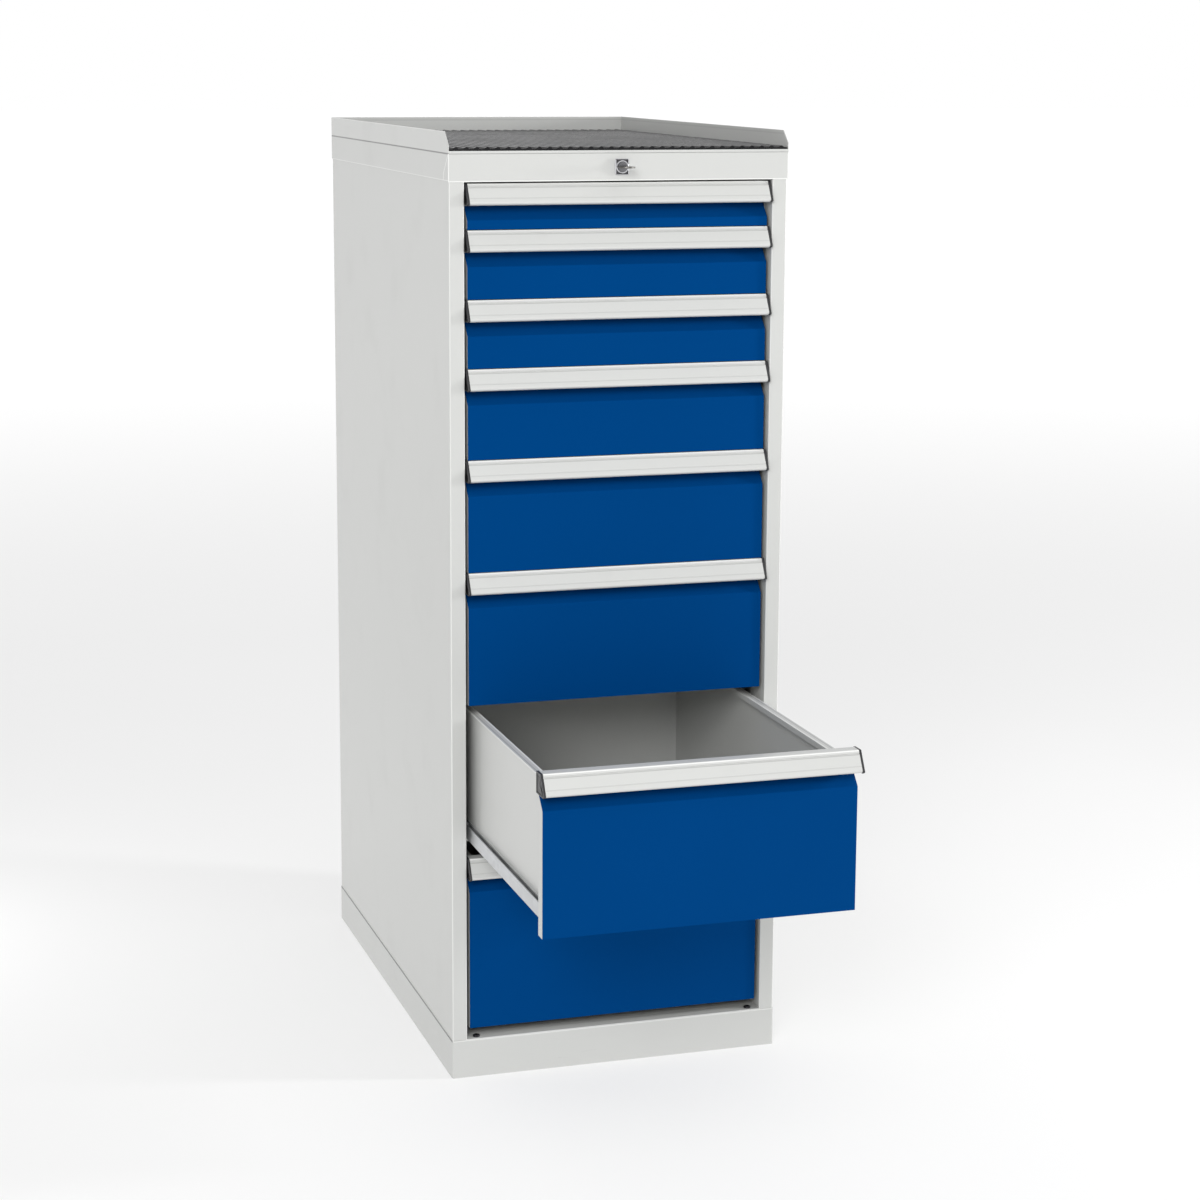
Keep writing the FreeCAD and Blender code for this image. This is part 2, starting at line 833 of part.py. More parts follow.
def make_rails(number):
    """Two open channels along the drawer's lower sides, with an end plate that meets the channel's stop."""
    low = box_bottom(number)
    outer = -wall_half - rail_width
    outline = [
        (-wall_half, low + rail_height),
        (-wall_half, low),
        (outer, low),
        (outer, low + rail_height),
    ]
    front = pan_back_y + box_sheet
    path = outline[::-1]
    trough = folded_sheet(path, slide_sheet, in_front_view(front), Vector(0, box_rear_y - front, 0))
    inset = slide_sheet / 2
    plate_top = low + rail_height - channel_lip_depth - rail_stop_gap
    plate_y = box_rear_y - slide_sheet
    plate = box(outer + inset, -wall_half - inset, plate_y, box_rear_y, low + inset, plate_top)
    rail = fuse([trough, plate])
    return Part.makeCompound([rail, mirrored(rail)])


def build_nodes():
    """Every piece of the cabinet by name."""
    left_side = make_left_side()
    nodes = {
        "left_side": left_side,
        "right_side": mirrored(left_side),
        "back_panel": make_back_panel(),
        "floor_panel": make_floor_panel(),
        "plinth": make_plinth(),
        "plinth_screws": make_plinth_screws(),
        "top_cap": make_top_cap(),
        "top_tray": make_top_tray(),
        "mat": make_mat(),
        "rear_uprights": make_rear_uprights(),
        "slide_channels": make_slide_channels(),
        "slide_glides": make_slide_glides(),
        "lock_housing": make_lock_housing(),
        "lock_nut": make_lock_nut(),
        "lock_cylinder": make_lock_cylinder(),
        "key": make_key(),
        "lock_rod": make_lock_rod(),
        "rod_bracket": make_rod_bracket(),
        "locking_bar": make_locking_bar(),
        "bar_guides": make_bar_guides(),
    }
    for number in drawer_numbers:
        pieces = {
            "box": make_drawer_box(number),
            "front": make_front(number),
            "handle": make_grip(number),
            "end_caps": make_end_caps(number),
            "rails": make_rails(number),
        }
        for name, shape in pieces.items():
            nodes["drawer_%d_%s" % (number, name)] = shape.translated(shown_shift(number))
    return nodes


nodes = build_nodes()
os.makedirs("parts", exist_ok=True)
for node_name, node_shape in nodes.items():
    node_shape.exportStep("parts/%s.step" % node_name)
print("%d nodes" % len(nodes))
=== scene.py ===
import math

import bmesh
import bpy
from mathutils import Matrix, Vector


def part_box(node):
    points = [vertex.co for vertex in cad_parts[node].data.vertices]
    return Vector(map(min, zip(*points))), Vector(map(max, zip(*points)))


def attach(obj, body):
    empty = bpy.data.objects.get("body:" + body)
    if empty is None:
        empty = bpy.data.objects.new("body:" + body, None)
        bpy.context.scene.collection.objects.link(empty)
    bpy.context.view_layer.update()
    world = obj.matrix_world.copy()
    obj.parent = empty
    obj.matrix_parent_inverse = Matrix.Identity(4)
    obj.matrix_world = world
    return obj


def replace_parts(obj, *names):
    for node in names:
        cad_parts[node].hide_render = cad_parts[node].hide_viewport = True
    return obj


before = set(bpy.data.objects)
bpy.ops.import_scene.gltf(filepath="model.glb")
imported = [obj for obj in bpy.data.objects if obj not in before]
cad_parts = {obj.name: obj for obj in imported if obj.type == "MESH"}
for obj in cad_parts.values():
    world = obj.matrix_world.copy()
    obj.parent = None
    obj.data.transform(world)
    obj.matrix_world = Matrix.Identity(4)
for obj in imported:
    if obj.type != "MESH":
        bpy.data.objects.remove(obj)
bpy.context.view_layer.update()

drawers = range(1, 9)

# Sizes of the sheet metal in metres

skirt_height = 0.0375
slide_room = 0.013
wall_drop = 0.014
rim_width = 0.012
grip_top_depth = 0.020
grip_face_drop = 0.0275

# Places of its edges

cap_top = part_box("top_cap")[1].z
cap_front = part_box("top_cap")[0].y
cap_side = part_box("top_cap")[1].x
skirt_low = cap_top - skirt_height
fascia_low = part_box("top_cap")[0].z
tray_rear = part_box("top_tray")[1].y
rim_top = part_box("top_tray")[1].z
body_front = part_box("right_side")[0].y
body_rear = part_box("right_side")[1].y
body_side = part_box("right_side")[1].x
post_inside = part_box("right_side")[0].x
drawer_side = post_inside - slide_room
plinth_low, plinth_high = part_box("plinth")

# Paint colours

body_grey = (0.502, 0.507, 0.494)
grip_grey = (0.530, 0.535, 0.522)
blue = (0.0, 0.040, 0.165)


# Finishes

class Field:
    """A socket of a finish, for use in Python expressions; | takes the larger value and & the smaller."""

    def __init__(self, finish, socket):
        self.finish = finish
        self.socket = socket

    def maths(self, operation, first, second=0.0):
        return self.finish.add("ShaderNodeMath", {"operation": operation}, {0: first, 1: second})[0]

    def __add__(self, other):
        return self.maths("ADD", self, other)

    __radd__ = __add__

    def __sub__(self, other):
        return self.maths("SUBTRACT", self, other)

    def __rsub__(self, other):
        return self.maths("SUBTRACT", other, self)

    def __mul__(self, other):
        return self.maths("MULTIPLY", self, other)

    def __abs__(self):
        return self.maths("ABSOLUTE", self)

    def __mod__(self, other):
        return self.maths("FLOORED_MODULO", self, other)

    def __or__(self, other):
        return self.maths("MAXIMUM", self, other)

    def __and__(self, other):
        return self.maths("MINIMUM", self, other)


class Graph:
    """A node tree with x, y and z of one kind of coordinates."""

    def __init__(self, tree, coordinates):
        self.tree = tree
        self.place = self.add("ShaderNodeTexCoord", {}, {})[coordinates]
        self.x, self.y, self.z = self.add("ShaderNodeSeparateXYZ", {}, {0: self.place})

    def add(self, kind, settings, values):
        """A node with its settings and its sockets' values or links; returns its outputs."""
        node = self.tree.nodes.new(kind)
        for name, value in settings.items():
            setattr(node, name, value)
        for socket, value in values.items():
            if isinstance(value, Field):
                self.tree.links.new(value.socket, node.inputs[socket])
            else:
                node.inputs[socket].default_value = value
        return [Field(self, socket) for socket in node.outputs]

    def grain(self, scale, detail=2.0, stretch=None):
        """Cloudy noise from 0 to 1, with scale in features per metre."""
        place = self.place
        if stretch:
            place = self.add("ShaderNodeMapping", {}, {"Vector": place, "Scale": stretch})[0]
        return self.add("ShaderNodeTexNoise", {}, {"Vector": place, "Scale": scale, "Detail": detail})[0]

    def flakes(self, scale):
        """Flat crystals of random value from 0 to 1, with scale in crystals per metre."""
        color = self.add("ShaderNodeTexVoronoi", {}, {"Vector": self.place, "Scale": scale})[1]
        return self.add("ShaderNodeSeparateXYZ", {}, {0: color})[0]

    def ramp(self, value, start, end):
        """Smooth step from 0 at start to 1 at end."""
        limits = {"Value": value, "From Min": start, "From Max": end}
        return self.add("ShaderNodeMapRange", {"interpolation_type": "SMOOTHSTEP"}, limits)[0]

    def near(self, value, edge, start, end):
        """Smooth step beside an edge, whose start and end are measured from the edge."""
        return self.ramp(value, edge + start, edge + end)

    def line(self, value, middle, half_width):
        """Mask of a line where value is near its middle."""
        return self.ramp(abs(value - middle), half_width, half_width * 0.35)

    def blend(self, amount, first, second):
        """Colour between two colours."""
        return self.add("ShaderNodeMix", {"data_type": "RGBA"}, {0: amount, 6: first, 7: second})[2]


class Finish(Graph):
    """A material: constants on its shader, and fields that vary over the surface."""

    def __init__(self, name, **constants):
        self.material = bpy.data.materials.new(name)
        self.material.use_nodes = True
        super().__init__(self.material.node_tree, 3)
        self.shader = self.tree.nodes["Principled BSDF"]
        for socket, value in constants.items():
            self.shader.inputs[socket.replace("_", " ")].default_value = value

    def set(self, color, roughness, height, glow=None):
        """Links the varying fields to the shader; height is in metres."""
        bump = self.add("ShaderNodeBump", {}, {"Strength": 1.0, "Distance": 1.0, "Height": height})[0]
        given = {"Base Color": color, "Roughness": roughness, "Normal": bump, "Emission Color": glow}
        for socket, value in given.items():
            if value is not None:
                self.tree.links.new(value.socket, self.shader.inputs[socket])
        return self


def shade(color, factor=1.0):
    """Opaque colour, lighter or darker by a factor."""
    return (color[0] * factor, color[1] * factor, color[2] * factor, 1.0)


def powder_coat(name, color, roughness, dark=None, light=None, relief=None, wave=0.00035):
    """Baked powder paint on sheet steel: orange peel, faint waves of the sheet, dust specks and rubbed spots.

    dark, light and relief are functions of the finish that give masks and an added height."""
    finish = Finish(name, Specular_IOR_Level=0.42, Coat_Weight=0.12, Coat_Roughness=0.20)
    cloud = finish.grain(2.2, 3.0)
    speck = finish.ramp(finish.grain(1500.0, 1.0), 0.69, 0.78)
    rubbed = finish.ramp(finish.grain(11.0, 4.0), 0.5, 0.8)
    tint = finish.blend(cloud, shade(color, 0.972), shade(color, 1.022))
    tint = finish.blend(speck * 0.10, tint, shade(color, 0.6))
    # The dark masks darken joints and, in places, paint shade into gaps and grooves.
    if dark:
        tint = finish.blend(dark(finish), tint, shade(color, 0.22))
    # Painted highlights: the light masks lighten the colour where edges and bends would catch light.
    if light:
        tint = finish.blend(light(finish), tint, shade(color, 1.55))
    peel = finish.grain(620.0, 1.5) * 0.000022 + finish.grain(170.0, 1.0) * 0.00004
    height = peel + finish.grain(3.1, 1.0) * wave
    if relief:
        height = height + relief(finish)
    rough = roughness + cloud * 0.05 + rubbed * 0.06 - 0.04
    return finish.set(tint, rough, height)


def zinc(name, color, roughness):
    """Zinc-plated sheet: spangle, rolling streaks along its length and a dull bloom."""
    bloom_grey = (0.666, 0.675, 0.684)
    finish = Finish(name, Metallic=0.92, Specular_IOR_Level=0.5)
    spangle = finish.flakes(85.0)
    streak = finish.grain(1.0, 3.0, (700.0, 9.0, 700.0))
    bloom = finish.ramp(finish.grain(24.0, 4.0), 0.42, 0.72)
    tint = finish.blend(spangle, shade(color, 0.94), shade(color, 1.07))
    tint = finish.blend(streak * 0.35, tint, shade(color, 0.78))
    tint = finish.blend(bloom * 0.20, tint, shade(bloom_grey))
    rough = roughness + spangle * 0.08 + bloom * 0.14 + streak * 0.06
    return finish.set(tint, rough, streak * 0.00002 + finish.grain(900.0) * 0.000006)


def metal(name, color, roughness, direction):
    """Plated or polished metal with fine brushing along one direction and rubbed patches."""
    finish = Finish(name, Metallic=1.0, Specular_IOR_Level=0.5)
    brushed = finish.grain(1.0, 2.0, direction)
    rubbed = finish.ramp(finish.grain(160.0, 3.0), 0.4, 0.75)
    tint = finish.blend(brushed * 0.4, shade(color, 1.06), shade(color, 0.8))
    rough = roughness + brushed * 0.10 + rubbed * 0.12
    return finish.set(tint, rough, brushed * 0.000008)


def plastic(name, color, roughness, grain):
    """Moulded plastic with an eroded grain, faint flow marks and finger shine."""
    finish = Finish(name, Specular_IOR_Level=0.5)
    pit = finish.grain(grain, 1.0)
    flow = finish.grain(30.0, 2.0, (1.0, 1.0, 0.3))
    shine = finish.ramp(finish.grain(45.0, 2.0), 0.45, 0.7)
    tint = finish.blend(flow, shade(color, 0.85), shade(color, 1.25))
    rough = roughness - shine * 0.10 + pit * 0.08
    return finish.set(tint, rough, pit * 0.00004)


def side_face(finish, half_width):
    """Mask of the outermost faces on the left and right."""
    return finish.near(abs(finish.x), half_width, -0.0006, -0.0003)


def tray_joint(finish):
    """Thin dark joint between the cap and the tray, on the outside only."""
    return finish.line(finish.z, cap_top, 0.0015) * side_face(finish, cap_side) * 0.95


def mitre(finish):
    """Welded mitre at the front end of each skirt: slanted from the top corner, then upright."""
    slope = 0.96
    reach = 0.027
    slant = ((cap_top - finish.z) * slope) & reach
    return finish.line(finish.y - cap_front - slant, 0.0, 0.0018) * side_face(finish, cap_side)


def cap_edge_highlights(finish):
    """Painted highlights on the skirt's lower edge, the mitre and the fascia's edges, where the bends would
    catch light.
    """
    ahead = finish.near(finish.y, cap_front, 0.0016, 0.0006)
    lower = finish.near(finish.z, fascia_low, 0.0020, 0.0008) * ahead
    corner = finish.near(abs(finish.x), cap_side, -0.0018, -0.0004) * ahead
    skirt = finish.near(finish.z, skirt_low, 0.0016, 0.0006) * side_face(finish, cap_side)
    return (lower * 0.7) | (corner * 0.6) | (skirt * 0.55) | (mitre(finish) * 0.85)


def post_bend_highlights(finish):
    """Painted highlights along the bends of the front posts, lighter than the flat sheet."""
    ahead = finish.near(finish.y, body_front, 0.0018, 0.0006)
    outer = finish.near(abs(finish.x), body_side, -0.0018, -0.0006)
    inner = finish.near(abs(finish.x), post_inside, 0.0020, 0.0006)
    return ahead * (outer | inner) * 0.6


def hem(finish):
    """Folded hem along the inside of the rim, seen as a faint line under its top."""
    hem_height = 0.0048
    inside = finish.near(abs(finish.x), cap_side, -0.0006, -0.0012)
    within = finish.near(finish.y, tray_rear, -0.0005, -0.0012) * inside
    return finish.line(finish.z, rim_top - hem_height, 0.0014) * within * 0.22


def rim_edge_highlight(finish):
    """Painted highlight along the top of the rim."""
    return finish.near(finish.z, rim_top, -0.0011, -0.0004) * 0.6


def scuffs(finish):
    """Short shoe and broom marks close to the ground."""
    low = finish.ramp(finish.z, 0.045, 0.004)
    streak = finish.ramp(finish.grain(1.0, 4.0, (26.0, 26.0, 170.0)), 0.66, 0.8)
    return low * streak * 0.20


def plinth_joint(finish):
    """Thin dark joint between the plinth and the side walls."""
    return finish.near(finish.z, plinth_high.z, -0.0020, -0.0012) * side_face(finish, plinth_high.x) * 0.8


def plinth_edge_highlights(finish):
    """Painted highlights on the upper edge and corners of the plinth's front."""
    ahead = finish.near(finish.y, plinth_low.y, 0.0008, 0.0003)
    upper = finish.near(finish.z, plinth_high.z, -0.0018, -0.0008)
    corner = finish.near(abs(finish.x), plinth_high.x, -0.0020, -0.0006)
    return ahead * ((upper * 0.5) | (corner * 0.4))


def spot_welds(finish):
    """Shallow dimples of spot welds along the flanges at the rear, as a height."""
    pitch = 0.12
    inset = 0.010
    depth = 0.00025
    along = abs((finish.z % pitch) - pitch / 2)
    across = abs(abs(finish.x) - (body_side - inset))
    distance_squared = along * along + across * across
    behind = finish.near(finish.y, body_rear, -0.007, -0.004)
    return finish.ramp(distance_squared, 0.0000105, 0.000004) * behind * -depth


def drawer_paint(name, number):
    """Grey paint of a drawer: painted shade in the gap behind the rail, a seam along the rim and painted
    highlights on the rim's edges.
    """
    rail_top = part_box("drawer_%d_rails" % number)[1].z
    rim_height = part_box("drawer_%d_handle" % number)[1].z - wall_drop
    seam_inset = 0.0038

    def on_rim(finish):
        level = finish.ramp(abs(finish.z - rim_height), 0.0012, 0.0007)
        return level * finish.near(abs(finish.x), drawer_side, 0.0005, 0.0002)

    def dark(finish):
        across = abs(finish.x)
        wall = finish.near(across, drawer_side, -0.0018, -0.0014)
        wall = wall * finish.near(across, drawer_side, 0.0002, -0.0004)
        # Painted shade on the wall below the rail's top, where it is seen through the gap.
        gap_shade = wall * finish.near(finish.z, rail_top, 0.0, -0.0004)
        seam = finish.line(across, drawer_side - seam_inset, 0.0011) * on_rim(finish)
        return (gap_shade * 0.92) | (seam * 0.5)

    def light(finish):
        # Painted highlights on the rim's outer and inner edges.
        across = abs(finish.x)
        outer = finish.near(across, drawer_side, -0.0014, -0.0006)
        inner = finish.near(across, drawer_side - rim_width, 0.0034, 0.0024)
        return (outer | inner) * on_rim(finish) * 0.7

    return powder_coat(name, body_grey, 0.38, dark=dark, light=light)


def front_paint():
    """Gentian blue powder paint, smoother and deeper than the grey."""
    pale_blue = (0.005, 0.09, 0.28)
    finish = Finish("drawer_blue", Specular_IOR_Level=0.10, Specular_Tint=(0.0, 0.35, 1.0, 1.0))
    cloud = finish.grain(2.6, 3.0)
    speck = finish.ramp(finish.grain(1400.0, 1.0), 0.70, 0.80)
    tint = finish.blend(cloud, shade(blue, 0.93), shade(blue, 1.07))
    tint = finish.blend(speck * 0.12, tint, shade(pale_blue))
    peel = finish.grain(560.0, 1.5) * 0.00002 + finish.grain(150.0, 1.0) * 0.00004
    rough = 0.36 + cloud * 0.06
    return finish.set(tint, rough, peel + finish.grain(3.3, 1.0) * 0.0005)


def grip_paint(name, number):
    """Grey paint of a grip strip: a pressed line near its lower edge, painted shade in that line and in the
    groove under the bend of its top, finger marks on its face and painted highlights on its lip and top edge."""
    low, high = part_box("drawer_%d_handle" % number)
    bend = high.y - grip_top_depth

    def pressed(finish):
        return finish.line(finish.y, low.y + 0.0030, 0.0005)

    def dark(finish):
        # Painted shade in the groove under the bend, and along the pressed line beside its real dent.
        groove_shade = finish.line(finish.y, bend - 0.0031, 0.0008)
        marks = finish.ramp(finish.grain(30.0, 4.0), 0.60, 0.80)
        return (groove_shade * 0.35) | (pressed(finish) * 0.14) | (marks * 0.03)

    def light(finish):
        # Painted highlights on the lower lip and the top edge.
        lip_highlight = finish.near(finish.z, low.z, 0.0022, 0.0010) * finish.near(finish.y, low.y, 0.0030, 0.0015)
        edge = finish.near(finish.z, high.z, -0.0020, -0.0010) * finish.near(finish.y, bend, 0.0012, 0.0002)
        return (lip_highlight * 0.9) | (edge * 0.8)

    return powder_coat(name, grip_grey, 0.33, dark=dark, light=light, wave=0.0001,
                       relief=lambda finish: pressed(finish) * -0.0002)


def lock_plate_chrome():
    """Dark chrome plate whose bevelled border has been polished bright."""
    smoky = (0.050, 0.050, 0.055)
    smoky_streak = (0.090, 0.090, 0.096)
    polished = (0.66, 0.66, 0.68)
    low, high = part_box("lock_housing")
    middle = (low.z + high.z) / 2
    half_height = (high.z - low.z) / 2
    finish = Finish("lock_chrome", Metallic=1.0, Specular_IOR_Level=0.5)
    brushed = finish.grain(1.0, 2.0, (300.0, 300.0, 2600.0))
    side = finish.near(abs(finish.x), high.x, -0.0012, -0.0008)
    end = finish.near(abs(finish.z - middle), half_height, -0.0012, -0.0008)
    tint = finish.blend(brushed, shade(smoky), shade(smoky_streak))
    tint = finish.blend(side | end, tint, shade(polished))
    return finish.set(tint, 0.14 + brushed * 0.10, brushed * 0.000006)


def mat_rubber():
    """Black rubber mat: fine moulded lines along the ribs, dull dust, rib tops lighter where worn and with a
    painted sheen growing towards the left, and black cut ends.
    """
    fresh = (0.010, 0.010, 0.012)
    bloomed = (0.024, 0.024, 0.026)
    line_black = (0.004, 0.004, 0.005)
    dust_grey = (0.16, 0.155, 0.15)
    wear_and_sheen_grey = (0.300, 0.300, 0.310)
    cut_black = (0.002, 0.002, 0.003)
    line_pitch = 0.005
    low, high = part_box("mat")
    middle = (low.y + high.y) / 2
    half_length = (high.y - low.y) / 2
    finish = Finish("mat_rubber", Specular_IOR_Level=0.42)
    lines = finish.ramp(abs((finish.x % line_pitch) - line_pitch / 2), 0.0006, 0.0011)
    bloom = finish.ramp(finish.grain(14.0, 4.0, (1.0, 0.35, 1.0)), 0.35, 0.75)
    dust = finish.ramp(finish.grain(1100.0, 2.0), 0.62, 0.72)
    top = finish.near(finish.z, high.z, -0.0011, -0.0003)
    cut = finish.near(abs(finish.y - middle), half_length, -0.0012, -0.0004)
    # Rib tops lighter: partly random wear, partly a painted sheen that grows towards the left.
    wear_and_sheen = bloom * 0.4 + finish.ramp(finish.x, 0.16, -0.20) * 0.6
    tint = finish.blend(bloom, shade(fresh), shade(bloomed))
    tint = finish.blend(lines * 0.7, tint, shade(line_black))
    tint = finish.blend(dust * 0.4, tint, shade(dust_grey))
    tint = finish.blend(top * wear_and_sheen * (1.0 - lines * 0.85), tint, shade(wear_and_sheen_grey))
    tint = finish.blend(cut, tint, shade(cut_black))
    rough = 0.50 + bloom * 0.10 + cut * 0.36 - top * (1.0 - cut) * 0.26
    return finish.set(tint, rough, lines * -0.0002 + finish.grain(700.0) * 0.000015)


body_paint = powder_coat("body_paint", body_grey, 0.36, light=post_bend_highlights, relief=spot_welds)
cap_paint = powder_coat("cap_paint", body_grey, 0.36, dark=tray_joint, light=cap_edge_highlights,
                        relief=lambda finish: mitre(finish) * 0.0002)
tray_paint = powder_coat("tray_paint", body_grey, 0.33, light=rim_edge_highlight,
                         dark=lambda finish: tray_joint(finish) | hem(finish))
plinth_paint = powder_coat("plinth_paint", body_grey, 0.40, light=plinth_edge_highlights, wave=0.0002,
                           dark=lambda finish: scuffs(finish) | plinth_joint(finish))
blue_paint = front_paint()
zinc_sheet = zinc("zinc_sheet", (0.52, 0.53, 0.54), 0.42)
zinc_bar = zinc("zinc_bar", (0.60, 0.58, 0.50), 0.28)
nylon = plastic("nylon", (0.70, 0.69, 0.64), 0.42, 900.0)
end_plastic = plastic("end_plastic", (0.018, 0.018, 0.020), 0.42, 1300.0)
collar_chrome = metal("collar_chrome", (0.58, 0.58, 0.60), 0.12, (2400.0, 2400.0, 2400.0))
plug_metal = metal("plug_metal", (0.20, 0.20, 0.21), 0.22, (2400.0, 60.0, 2400.0))
key_nickel = metal("key_nickel", (0.16, 0.155, 0.145), 0.30, (2200.0, 90.0, 2200.0))
black_screw = metal("black_screw", (0.045, 0.045, 0.05), 0.34, (900.0, 900.0, 900.0))
rubber = mat_rubber()
lock_chrome = lock_plate_chrome()


# Pieces

def finished(bm, name, finish, body):
    """Object of a mesh, with its finish, riding on its body."""
    bmesh.ops.recalc_face_normals(bm, faces=bm.faces[:])
    mesh = bpy.data.meshes.new(name)
    bm.to_mesh(mesh)
    bm.free()
    mesh.polygons.foreach_set("use_smooth", [True] * len(mesh.polygons))
    mesh.set_sharp_from_angle(angle=math.radians(35.0))
    piece = bpy.data.objects.new(name, mesh)
    bpy.context.scene.collection.objects.link(piece)
    mesh.materials.append(finish.material)
    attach(piece, body)
    return piece


def only_verts(geometry):
    """The vertices among the results of an operator."""
    return [part for part in geometry if isinstance(part, bmesh.types.BMVert)]


def raise_faces(bm, faces, vector):
    """Pulls faces out along a vector with walls behind them."""
    made = bmesh.ops.extrude_face_region(bm, geom=faces)["geom"]
    bmesh.ops.translate(bm, verts=only_verts(made), vec=vector)


def prism(bm, corners, vector):
    """Closed solid swept from a flat outline."""
    face = bm.faces.new([bm.verts.new(corner) for corner in corners])
    raise_faces(bm, [face], vector)


def round_edges(bm, offset, least_angle):
    """Rounds the edges that turn by more than the least angle in degrees."""
    limit = math.radians(least_angle)
    edges = [edge for edge in bm.edges if len(edge.link_faces) == 2 and edge.calc_face_angle(0.0) > limit]
    bmesh.ops.bevel(bm, geom=edges, offset=offset, offset_type="OFFSET", segments=2, profile=0.5,
                    affect="EDGES", material=-1, clamp_overlap=True)


def level_faces(bm, verts):
    """Level faces whose corners are all among the given vertices."""
    own = set(verts)
    return [face for face in bm.faces if abs(face.normal.z) > 0.9 and own.issuperset(face.verts)]


def add_cylinder(bm, radius, segments, middle, bottom, top):
    """Upright closed cylinder; returns its vertices."""
    verts = bmesh.ops.create_cone(bm, cap_ends=True, segments=segments, radius1=radius, radius2=radius,
                                  depth=top - bottom)["verts"]
    bmesh.ops.translate(bm, vec=(*middle, (bottom + top) / 2), verts=verts)
    return verts


def make_mat():
    """Ribbed mat in one section, swept from the front lip to the rear rim."""
    pitch = 0.015
    rise = 0.0026
    rib_half = 0.0042
    plain_edge = 0.004
    ridge_half = 0.0006
    ridge_rise = 0.0005
    low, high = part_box("mat")
    base = high.z - rise
    count = int((high.x - low.x - 2 * plain_edge) / pitch) + 1
    first = -pitch * (count - 1) / 2
    section = [(low.x, low.z), (low.x, base)]
    for index in range(count):
        middle = first + index * pitch
        for step in range(-4, 5):
            across = step / 4
            section.append((middle + across * rib_half, base + rise * math.cos(across * math.pi / 2) ** 0.8))
        if index < count - 1:
            for ridge in (middle + 0.0062, middle + 0.0088):
                section.append((ridge - ridge_half, base))
                section.append((ridge, base + ridge_rise))
                section.append((ridge + ridge_half, base))
    section += [(high.x, base), (high.x, low.z)]
    bm = bmesh.new()
    prism(bm, [(x, low.y, z) for x, z in section], Vector((0, high.y - low.y, 0)))
    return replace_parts(finished(bm, "mat_ribbed", rubber, "cabinet"), "mat")


def make_end_caps(number):
    """Two moulded end pieces of a grip strip, each with a rounded edge and a sunk field."""
    node = "drawer_%d_end_caps" % number
    low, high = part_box(node)
    thick = 0.0035
    outline = [
        (high.y, low.z),
        (high.y, high.z),
        (high.y - grip_top_depth, high.z),
        (low.y, high.z - grip_face_drop),
        (low.y + thick, low.z),
    ]
    border = (0.0017, 0.0)
    sunk_wall = (0.0004, -0.0009)
    sunk_floor = (0.0030, 0.0)
    raised_wall = (0.0003, 0.0004)
    bm = bmesh.new()
    prism(bm, [(low.x + thick, y, z) for y, z in outline], Vector((-thick, 0, 0)))
    round_edges(bm, 0.0005, 25.0)
    bm.normal_update()
    bmesh.ops.recalc_face_normals(bm, faces=bm.faces[:])
    field = min(bm.faces, key=lambda face: (round(face.calc_center_median().x, 5), -face.calc_area()))
    for thickness, depth in (border, sunk_wall, sunk_floor, raised_wall):
        bmesh.ops.inset_region(bm, faces=[field], thickness=thickness, depth=depth, use_even_offset=True)
    twin = bmesh.ops.duplicate(bm, geom=bm.verts[:] + bm.edges[:] + bm.faces[:])["geom"]
    bmesh.ops.scale(bm, vec=(-1, 1, 1), verts=only_verts(twin))
    piece = finished(bm, "drawer_%d_moulded_ends" % number, end_plastic, "drawer_%d" % number)
    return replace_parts(piece, node)


def make_lock_collar():
    """Turned collar round the plug, on the lock's plate; its section is given as radius and y."""
    low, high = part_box("lock_housing")
    middle = Vector((0, 0, (low.z + high.z) / 2))
    section = [
        (0.0072, low.y + 0.0002),
        (0.0072, low.y - 0.0010),
        (0.0076, low.y - 0.0014),
        (0.0086, low.y - 0.0014),
        (0.0092, low.y - 0.0009),
        (0.0094, low.y + 0.0002),
    ]
    bm = bmesh.new()
    verts = [bm.verts.new((radius, y, middle.z)) for radius, y in section]
    edges = [bm.edges.new(pair) for pair in zip(verts, verts[1:] + verts[:1])]
    bmesh.ops.spin(bm, geom=verts + edges, cent=middle, axis=(0, 1, 0), angle=math.tau, steps=48,
                   use_merge=True)
    bmesh.ops.remove_doubles(bm, verts=bm.verts[:], dist=0.000001)
    return finished(bm, "lock_collar", collar_chrome, "cabinet")


def make_key():
    """Flat key: oval bow with a ring hole and rounded edges, and a blade with milled grooves."""
    bow_half_width = 0.012
    bow_half_length = 0.013
    ring_inset = 0.006
    ring_radius = 0.003
    blade_width = 0.0086
    groove_border = 0.0022
    groove_wall = 0.0003
    groove_depth = 0.0005
    low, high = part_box("key")
    thick = high.z - low.z
    blade_thick = thick * 0.96
    bow_y = low.y + bow_half_length
    length = high.y - bow_y
    bm = bmesh.new()
    outer = bmesh.ops.create_circle(bm, segments=48, radius=1.0)["verts"]
    bmesh.ops.scale(bm, vec=(bow_half_width, bow_half_length, 1), verts=outer)
    bmesh.ops.translate(bm, vec=(0, bow_y, low.z), verts=outer)
    hole = bmesh.ops.create_circle(bm, segments=48, radius=ring_radius)["verts"]
    bmesh.ops.translate(bm, vec=(0, low.y + ring_inset, low.z), verts=hole)
    bmesh.ops.bridge_loops(bm, edges=bm.edges[:])
    raise_faces(bm, bm.faces[:], Vector((0, 0, thick)))
    round_edges(bm, 0.00025, 40.0)
    blade = bmesh.ops.create_cube(bm, size=1.0)["verts"]
    bmesh.ops.scale(bm, vec=(blade_width, length, blade_thick), verts=blade)
    bmesh.ops.translate(bm, vec=(0, bow_y + length / 2, low.z + thick / 2), verts=blade)
    broad = level_faces(bm, blade)
    bmesh.ops.inset_individual(bm, faces=broad, thickness=groove_border)
    bmesh.ops.inset_individual(bm, faces=broad, thickness=groove_wall, depth=-groove_depth)
    piece = finished(bm, "key_cut", key_nickel, "lock_core")
    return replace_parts(piece, "key")


